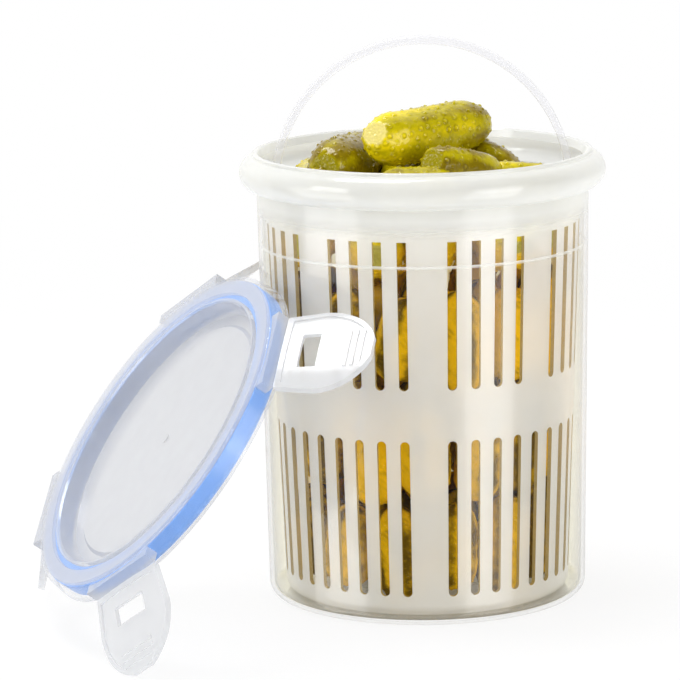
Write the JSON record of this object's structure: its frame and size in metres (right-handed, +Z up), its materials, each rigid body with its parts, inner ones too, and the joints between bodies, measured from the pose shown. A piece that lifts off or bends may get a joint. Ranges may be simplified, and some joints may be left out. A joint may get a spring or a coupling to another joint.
{
  "type": "pickle jar with lifter",
  "caption": "Tall clear plastic jar of gherkins in brine, with a slotted strainer basket that lifts out by a bail handle; its clip lid leans against the side.",
  "frame": {"origin": "middle of the jar's base, on the surface that it stands on", "axes": "+Z up, along the jar's axis; +X along the handle's pivot axis, away from the leaning lid; -Y towards the side that the lid's outer face half turns to"},
  "size_m": [0.2045, 0.1872, 0.1996],
  "materials": {
    "clear_plastic": "clear, slightly milky, glossy",
    "milky_plastic": "milky, see-through, satin",
    "lid_plastic": "milky, see-through, satin",
    "blue_seal": "soft, satin",
    "gherkin": "wet, warty skin",
    "brine": "clear, faintly yellow liquid"
  },
  "bodies": {
    "jar_and_contents": {"jar": "clear_plastic", "lifter_basket": "milky_plastic", "lid": "lid_plastic", "lid_seal": "blue_seal", "gherkin_01": "gherkin", "gherkin_02": "gherkin", "gherkin_03": "gherkin", "gherkin_04": "gherkin", "gherkin_05": "gherkin", "gherkin_06": "gherkin", "gherkin_07": "gherkin", "gherkin_08": "gherkin", "gherkin_09": "gherkin", "gherkin_10": "gherkin", "gherkin_11": "gherkin", "gherkin_12": "gherkin", "gherkin_13": "gherkin", "gherkin_14": "gherkin", "brine": "brine"},
    "handle": {"lifter_handle": "milky_plastic"},
    "clip_1": {"lid_clip_1": "lid_plastic"},
    "clip_2": {"lid_clip_2": "lid_plastic"},
    "clip_3": {"lid_clip_3": "lid_plastic"},
    "clip_4": {"lid_clip_4": "lid_plastic"}
  },
  "joints": [
    {"name": "handle_swing", "type": "hinge", "parent": "jar_and_contents", "child": "handle", "pos_m": [0, 0, 0.1463], "axis": [1, 0, 0], "range_deg": [-85, 85]},
    {"name": "clip_1_fold", "type": "hinge", "parent": "jar_and_contents", "child": "clip_1", "pos_m": [-0.10284, -0.09957, 0.02878], "axis": [0.6378, -0.5439, 0.5454], "range_deg": [-37, 63]},
    {"name": "clip_2_fold", "type": "hinge", "parent": "jar_and_contents", "child": "clip_2", "pos_m": [-0.0495, -0.08329, 0.10293], "axis": [0.1752, 0.792, 0.5849], "range_deg": [-46, 54]},
    {"name": "clip_3_fold", "type": "hinge", "parent": "jar_and_contents", "child": "clip_3", "pos_m": [-0.07985, 0.00434, 0.10551], "axis": [-0.6378, 0.5439, -0.5454], "range_deg": [-43, 0.5]},
    {"name": "clip_4_fold", "type": "hinge", "parent": "jar_and_contents", "child": "clip_4", "pos_m": [-0.13318, -0.01194, 0.03137], "axis": [-0.1752, -0.792, -0.5849], "range_deg": [-43, 57]}
  ]
}
